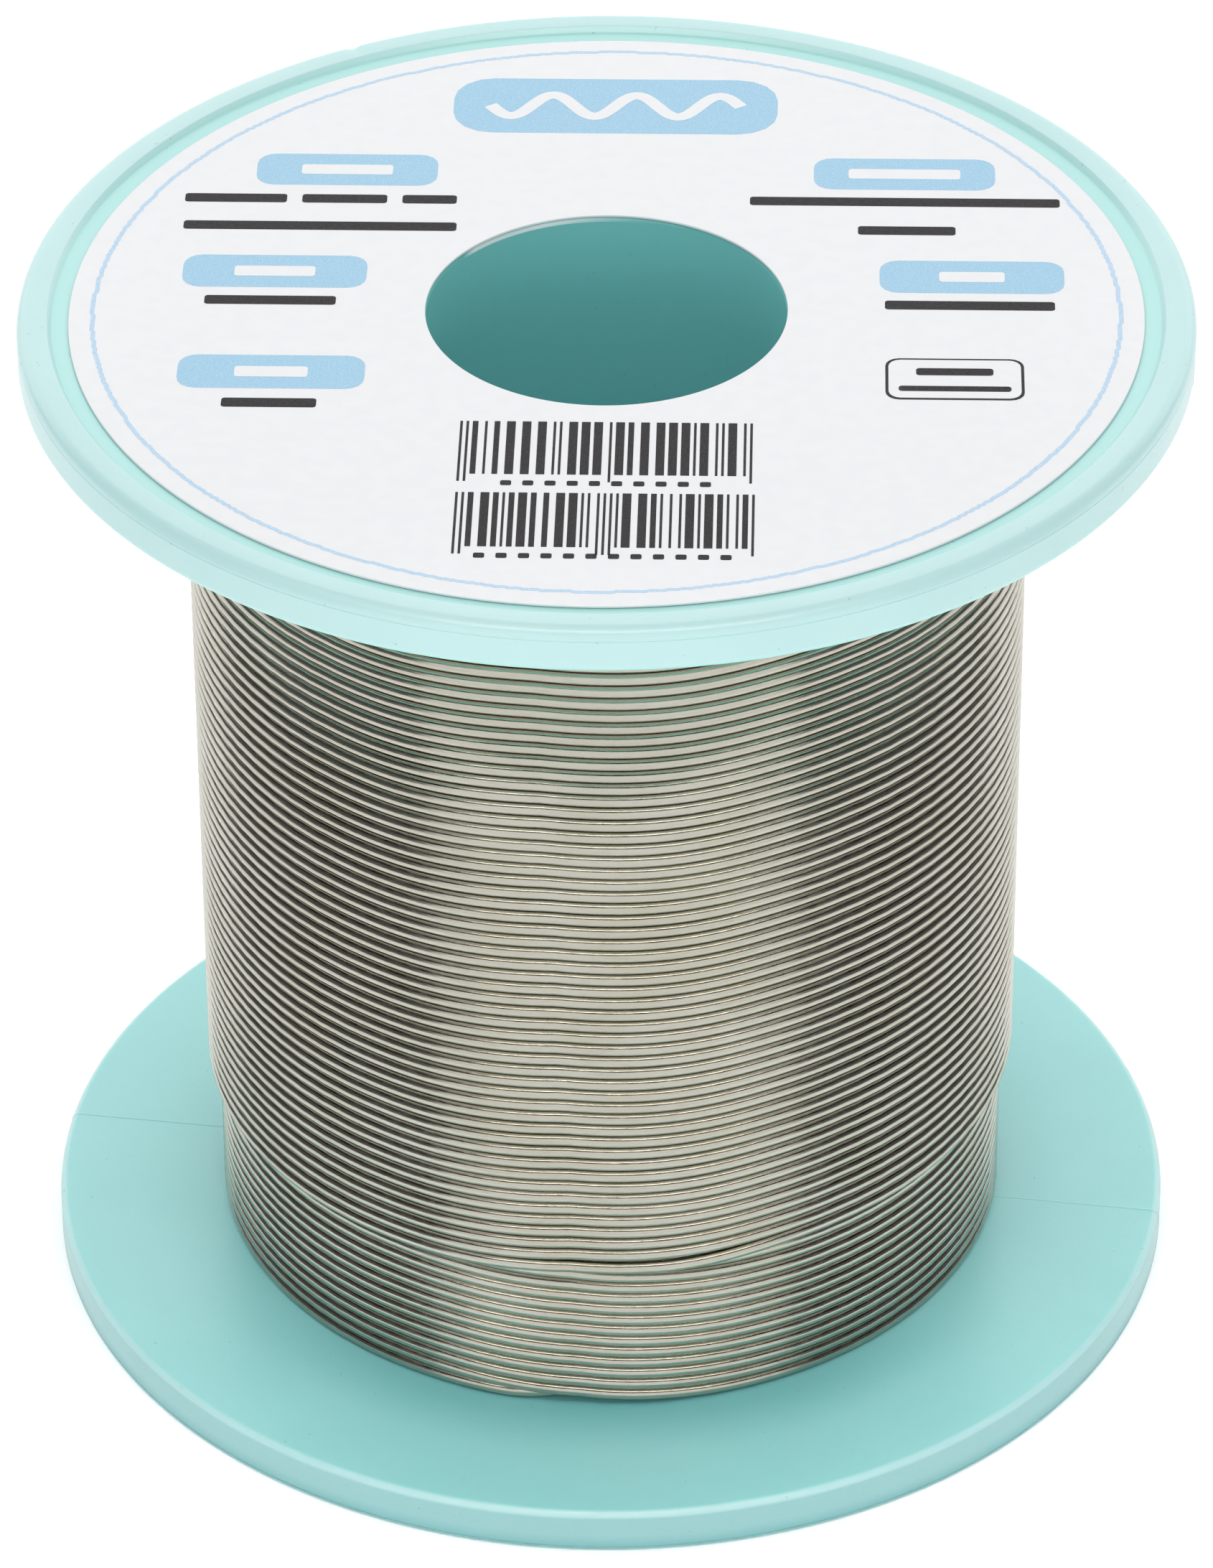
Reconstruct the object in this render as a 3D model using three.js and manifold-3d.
// A full spool of flux-cored solder wire, standing on its rear flange.
//
// Frame: millimetres, +Z up along the spool's axis. The origin is on the axis, in the plane that the
// rear flange stands on, and the labelled front flange faces up.
//
// The real object is three separate things: one injection moulding (two flanges, a barrel, a bore tube and
// four ribs in a single piece), one printed label, and one unbroken length of wire with a flux core.
// The wire is cut into nodes where its winding changes: three layers, the tail at its inner end
// and the last part-turn at its outer end.

import * as THREE from "three";
import { mergeVertices } from "three/addons/utils/BufferGeometryUtils.js";
import Module from "manifold-3d";

const wasm = await Module();
wasm.setup();

// ---- Driving dimensions, in millimetres -------------------------------------------------------

const HEIGHT = 65;
const FLANGE_RADIUS = 34;
const FLANGE_THICKNESS = 2.8;
const BORE_RADIUS = 10.4;
const BARREL_RADIUS = 22.4;
const WALL = 1.8;
const RIB_THICKNESS = 1.6;
const RIB_COUNT = 4;
const LABEL_RADIUS = 31;
const WIRE_DIAMETER = 0.8;
const WIRE_PITCH = 0.83;
const LAYER_COUNT = 3;

// ---- Details ----------------------------------------------------------------------------------

const LIP_WIDTH = 1.85; // the raised rim round each end face
const RECESS_DEPTH = 0.35; // how far each end face lies below its rim
const LIP_SLOPE = 0.15;
const OUTER_EDGE_ROUND = 0.9;
const INNER_EDGE_ROUND = 0.4;
const BORE_EDGE_ROUND = 0.4;
const LABEL_THICKNESS = 0.12;
const LABEL_HOLE_RADIUS = BORE_RADIUS + 0.3;
const FLUX_RADIUS = 0.18;
const FLUX_BORE_RADIUS = 0.21;
const START_HOLE_RADIUS = 0.8;
const START_TAIL_LENGTH = 12;
const TAIL_BEND_RADIUS = 0.7;
const TOUCH_GAP = 0.05; // left between pieces that touch on the real object
const WINDING_END_GAP = 0.25; // between the end turns and the flanges
const EXPOSED_TURNS = 12.5; // turns of the second layer that the outer layer leaves bare
const FREE_END_START = THREE.MathUtils.degToRad(265); // where the last part-turn leaves the outer layer
const FREE_END_STOP = THREE.MathUtils.degToRad(150); // where the wire is cut off
const START_ANGLE = 0; // the start hole opens into the pocket on +X

const ROUND_SEGMENTS = 80; // facets round the spool's axis
const WIRE_SEGMENTS = 8; // facets round the wire
const LAST_TURN_STEPS = 36; // facets along the last part-turn
const TAIL_STEPS = 24; // facets along the tail at the inner end
const CORNER_STEPS = 3; // facets in each rounded edge

// ---- Sizes that follow from them --------------------------------------------------------------

const WIRE_RADIUS = WIRE_DIAMETER / 2;
const LAYER_RISE = Math.sqrt(WIRE_DIAMETER ** 2 - (WIRE_PITCH / 2) ** 2); // each turn lies in a groove
const HUB_RADIUS = BORE_RADIUS + WALL;
const POCKET_RADIUS = BARREL_RADIUS - WALL;
const POCKET_TOP = HEIGHT - FLANGE_THICKNESS;
const RECESS_RADIUS = FLANGE_RADIUS - LIP_WIDTH;
const WINDING_LOW = FLANGE_THICKNESS + WINDING_END_GAP;
const WINDING_HIGH = HEIGHT - FLANGE_THICKNESS - WINDING_END_GAP;
const LAST_TURN_HEIGHT = WINDING_LOW + WIRE_RADIUS + (EXPOSED_TURNS - 0.5) * WIRE_PITCH;
const OUTER_LAYER_LOW = LAST_TURN_HEIGHT + WIRE_RADIUS + TOUCH_GAP;
const START_TAIL_HEIGHT = WINDING_HIGH - WIRE_RADIUS;

const layerRadius = (layer) => BARREL_RADIUS + WIRE_RADIUS + (layer - 1) * LAYER_RISE;

// ---- Materials --------------------------------------------------------------------------------

const material = (color, roughness, metalness) =>
  new THREE.MeshStandardMaterial({ color, roughness, metalness });

const moulding = material(0xa9dbd6, 0.45, 0);
const labelStock = material(0xf4f5f8, 0.5, 0);
const solder = material(0xb9b7ae, 0.35, 1);
const flux = material(0xc9943e, 0.3, 0);

// ---- Geometry helpers -------------------------------------------------------------------------

// Points on an arc about (x, y), both ends included.
function arc(x, y, radius, fromDegrees, toDegrees, steps = CORNER_STEPS) {
  const points = [];
  for (let i = 0; i <= steps; i += 1) {
    const turn = THREE.MathUtils.degToRad(fromDegrees + ((toDegrees - fromDegrees) * i) / steps);
    points.push(new THREE.Vector2(x + radius * Math.cos(turn), y + radius * Math.sin(turn)));
  }
  return points;
}

// A ring about +Z. The profile is (radius, height) points that run anticlockwise.
function revolve(profile) {
  const closed = [...profile, profile[0]];
  return new THREE.LatheGeometry(closed, ROUND_SEGMENTS).rotateX(Math.PI / 2);
}

function rectangleRing(innerRadius, outerRadius, low, high) {
  return revolve([
    new THREE.Vector2(innerRadius, low),
    new THREE.Vector2(outerRadius, low),
    new THREE.Vector2(outerRadius, high),
    new THREE.Vector2(innerRadius, high),
  ]);
}

function toSolid(geometry) {
  const bare = geometry.clone().deleteAttribute("normal").deleteAttribute("uv");
  const merged = mergeVertices(bare, 1e-4);
  const mesh = new wasm.Mesh({
    numProp: 3,
    vertProperties: merged.attributes.position.array,
    triVerts: new Uint32Array(merged.index.array),
  });
  return new wasm.Manifold(mesh);
}

function toGeometry(solid) {
  const mesh = solid.getMesh();
  const geometry = new THREE.BufferGeometry();
  geometry.setAttribute("position", new THREE.BufferAttribute(mesh.vertProperties, mesh.numProp));
  geometry.setIndex(new THREE.BufferAttribute(mesh.triVerts, 1));
  geometry.computeVertexNormals();
  return geometry;
}

// A many-sided outline of a round section.
function roundOutline(outline, radius) {
  for (let i = 0; i < WIRE_SEGMENTS; i += 1) {
    const turn = (2 * Math.PI * i) / WIRE_SEGMENTS;
    const x = radius * Math.cos(turn);
    const y = radius * Math.sin(turn);
    if (i === 0) outline.moveTo(x, y);
    else outline.lineTo(x, y);
  }
  outline.closePath();
  return outline;
}

function roundBar(path, radius, steps, holeRadius = 0) {
  const section = roundOutline(new THREE.Shape(), radius);
  if (holeRadius > 0) section.holes.push(roundOutline(new THREE.Path(), holeRadius));
  return new THREE.ExtrudeGeometry(section, { steps, extrudePath: path });
}

// Part of a level turn of wire, as a curve.
class TurnCurve extends THREE.Curve {
  constructor(radius, height, start, stop) {
    super();
    Object.assign(this, { radius, height, start, stop });
  }

  getPoint(t, target = new THREE.Vector3()) {
    const turn = this.start + (this.stop - this.start) * t;
    return target.set(this.radius * Math.cos(turn), this.radius * Math.sin(turn), this.height);
  }
}

function named(name, geometry, surface) {
  const mesh = new THREE.Mesh(geometry, surface);
  mesh.name = name;
  return mesh;
}

// ---- The moulding -----------------------------------------------------------------------------

// One end's half of the outline, from the bore's mouth round the flange to the barrel.
// Heights count from the end face's rim towards the middle of the spool.
function flangeOutline() {
  return [
    ...arc(BORE_RADIUS + BORE_EDGE_ROUND, RECESS_DEPTH + BORE_EDGE_ROUND, BORE_EDGE_ROUND, 180, 270),
    new THREE.Vector2(RECESS_RADIUS, RECESS_DEPTH),
    new THREE.Vector2(RECESS_RADIUS + LIP_SLOPE, 0),
    ...arc(FLANGE_RADIUS - OUTER_EDGE_ROUND, OUTER_EDGE_ROUND, OUTER_EDGE_ROUND, 270, 360, 4),
    ...arc(FLANGE_RADIUS - INNER_EDGE_ROUND, FLANGE_THICKNESS - INNER_EDGE_ROUND, INNER_EDGE_ROUND, 0, 90),
    new THREE.Vector2(BARREL_RADIUS, FLANGE_THICKNESS),
  ];
}

// The hollow between two ribs, open at the rear face: a sector with sides parallel to the ribs.
function pocketCutter() {
  const half = RIB_THICKNESS / 2;
  const sector = Math.PI / RIB_COUNT;
  const innerTurn = sector - Math.asin(half / HUB_RADIUS);
  const outerTurn = sector - Math.asin(half / POCKET_RADIUS);
  const outline = new THREE.Shape();
  outline.absarc(0, 0, POCKET_RADIUS, -outerTurn, outerTurn, false);
  outline.absarc(0, 0, HUB_RADIUS, innerTurn, -innerTurn, true);
  outline.closePath();
  const cutter = new THREE.ExtrudeGeometry(outline, {
    depth: POCKET_TOP + WALL,
    bevelEnabled: false,
    curveSegments: 12,
  });
  return cutter.translate(0, 0, -WALL);
}

// A hole through the barrel's wall, just inside the front flange, that takes the wire's inner end.
function startHoleCutter() {
  const length = 3 * WALL;
  const cutter = new THREE.CylinderGeometry(START_HOLE_RADIUS, START_HOLE_RADIUS, length, 2 * WIRE_SEGMENTS);
  return cutter
    .rotateZ(Math.PI / 2)
    .translate(BARREL_RADIUS - WALL / 2, 0, START_TAIL_HEIGHT)
    .rotateZ(START_ANGLE);
}

function makeSpoolBody() {
  const rear = flangeOutline();
  const front = flangeOutline()
    .map((point) => new THREE.Vector2(point.x, HEIGHT - point.y))
    .reverse();
  let solid = toSolid(revolve([...rear, ...front]));
  for (let rib = 0; rib < RIB_COUNT; rib += 1) {
    const cutter = pocketCutter().rotateZ((2 * Math.PI * rib) / RIB_COUNT);
    solid = solid.subtract(toSolid(cutter));
  }
  solid = solid.subtract(toSolid(startHoleCutter()));
  return named("spool_body", toGeometry(solid), moulding);
}

// ---- The label --------------------------------------------------------------------------------

function makeFrontLabel() {
  const low = HEIGHT - RECESS_DEPTH + TOUCH_GAP;
  const disc = rectangleRing(LABEL_HOLE_RADIUS, LABEL_RADIUS, low, low + LABEL_THICKNESS);
  return named("front_label", disc, labelStock);
}

// ---- The wire ---------------------------------------------------------------------------------

// A whole layer of turns as one ring, from the lowest points of its own turns to those of the next layer's.
function makeWireLayer(layer) {
  const outermost = layer === LAYER_COUNT;
  const inner = layerRadius(layer) - WIRE_RADIUS + TOUCH_GAP;
  const outer = outermost ? layerRadius(layer) + WIRE_RADIUS : layerRadius(layer + 1) - WIRE_RADIUS;
  const low = outermost ? OUTER_LAYER_LOW : WINDING_LOW;
  return named(`wire_layer_${layer}`, rectangleRing(inner, outer, low, WINDING_HIGH), solder);
}

// The wire's inner end comes through the barrel's wall and turns down beside it.
function makeStartTail() {
  const outerEnd = BARREL_RADIUS - TOUCH_GAP;
  const drop = POCKET_RADIUS - WIRE_RADIUS - TOUCH_GAP;
  const bendTop = new THREE.Vector3(drop + TAIL_BEND_RADIUS, 0, START_TAIL_HEIGHT);
  const corner = new THREE.Vector3(drop, 0, START_TAIL_HEIGHT);
  const bendLow = new THREE.Vector3(drop, 0, START_TAIL_HEIGHT - TAIL_BEND_RADIUS);
  const path = new THREE.CurvePath();
  path.add(new THREE.LineCurve3(new THREE.Vector3(outerEnd, 0, START_TAIL_HEIGHT), bendTop));
  path.add(new THREE.QuadraticBezierCurve3(bendTop, corner, bendLow));
  path.add(new THREE.LineCurve3(bendLow, new THREE.Vector3(drop, 0, START_TAIL_HEIGHT - START_TAIL_LENGTH)));
  const tail = named("wire_start_tail", roundBar(path, WIRE_RADIUS - TOUCH_GAP, TAIL_STEPS), solder);
  tail.rotation.z = START_ANGLE;
  return tail;
}

// The last part-turn lies in the second layer's groove, under the outer layer, and ends cut off square.
function lastTurnCurve() {
  return new TurnCurve(layerRadius(LAYER_COUNT) + TOUCH_GAP, LAST_TURN_HEIGHT, FREE_END_START, FREE_END_STOP);
}

function makeFreeEnd() {
  const bar = roundBar(lastTurnCurve(), WIRE_RADIUS, LAST_TURN_STEPS, FLUX_BORE_RADIUS);
  return named("wire_free_end", bar, solder);
}

function makeFluxCore() {
  return named("flux_core", roundBar(lastTurnCurve(), FLUX_RADIUS, LAST_TURN_STEPS), flux);
}

// ---- The assembly -----------------------------------------------------------------------------

const winding = new THREE.Group();
for (let layer = 1; layer <= LAYER_COUNT; layer += 1) winding.add(makeWireLayer(layer));
winding.add(makeStartTail(), makeFreeEnd(), makeFluxCore());

const spool = new THREE.Group();
spool.add(makeSpoolBody(), makeFrontLabel(), winding);

export default spool;
